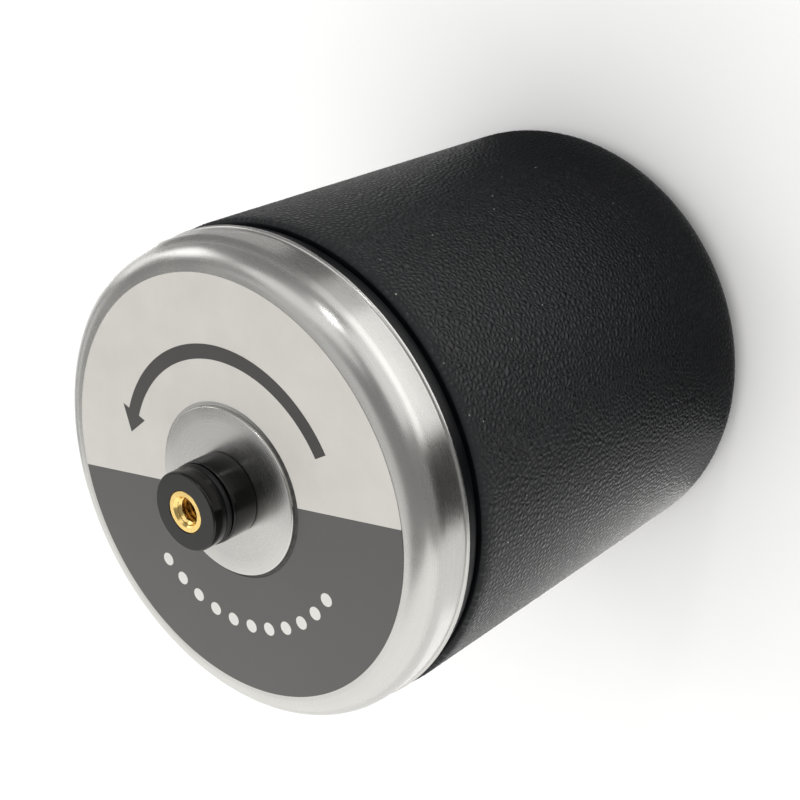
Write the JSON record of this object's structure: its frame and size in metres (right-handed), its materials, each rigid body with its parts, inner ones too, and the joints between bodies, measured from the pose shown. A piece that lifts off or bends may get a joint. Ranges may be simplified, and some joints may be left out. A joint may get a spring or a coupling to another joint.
{
  "type": "rock tumbling barrel",
  "caption": "Moulded rubber tumbling barrel with a ten-sided cavity, a pressed inner lid on a threaded stud, a spun metal cap and a screw-down knob.",
  "frame": {"origin": "centre of the flat face of the closed end, on the barrel's axis", "axes": "+Z along the barrel's axis, from the closed end to the lid; the barrel stands upright on its closed end, as it does when it is filled; +X and +Y are square to the axis, and the label's upper half faces +Y"},
  "size_m": [0.1142, 0.1142, 0.1426],
  "materials": {
    "barrel_rubber": "moulded black rubber with a pebbled leather grain",
    "cap_metal": "satin, spun, with fine turning lines around the axis",
    "label_foil": "satin printed film in two greys, light above and dark below",
    "inner_lid_steel": "pressed sheet with a dull zinc finish",
    "fastener_steel": "bright zinc-plated steel",
    "seal_rubber": "smooth black rubber",
    "washer_nylon": "natural nylon",
    "knob_plastic": "black moulded plastic, glossy on its sides and satin on its face",
    "insert_brass": "machined, bright"
  },
  "bodies": {
    "barrel": {"barrel_body": "barrel_rubber"},
    "inner_lid": {"inner_lid": "inner_lid_steel", "lid_stud": "fastener_steel", "stud_gasket": "seal_rubber", "stud_washer": "fastener_steel", "stud_nut": "fastener_steel", "stud_seal": "seal_rubber"},
    "outer_lid": {"outer_lid": "cap_metal", "face_label": "label_foil"},
    "knob_washer": {"knob_washer": "washer_nylon"},
    "knob": {"knob_body": "knob_plastic", "knob_insert": "insert_brass", "knob_ring": "seal_rubber"}
  },
  "joints": [
    {"name": "inner_lid_lift", "type": "slide", "parent": "barrel", "child": "inner_lid", "axis": [0, 0, 1], "range_m": [0, 0.04]},
    {"name": "outer_lid_lift", "type": "slide", "parent": "inner_lid", "child": "outer_lid", "axis": [0, 0, 1], "range_m": [0, 0.03]},
    {"name": "knob_lift", "type": "slide", "parent": "outer_lid", "child": "knob_washer", "axis": [0, 0, 1], "range_m": [0, 0.00636]},
    {"name": "knob_turn", "type": "hinge", "parent": "knob_washer", "child": "knob", "pos_m": [0, 0, 0.1365], "axis": [0, 0, 1], "range_deg": [0, 1800]}
  ],
  "couplings": [
    {"joint": "knob_lift", "follows": "knob_turn", "m_per_rad": 0.00020213}
  ]
}
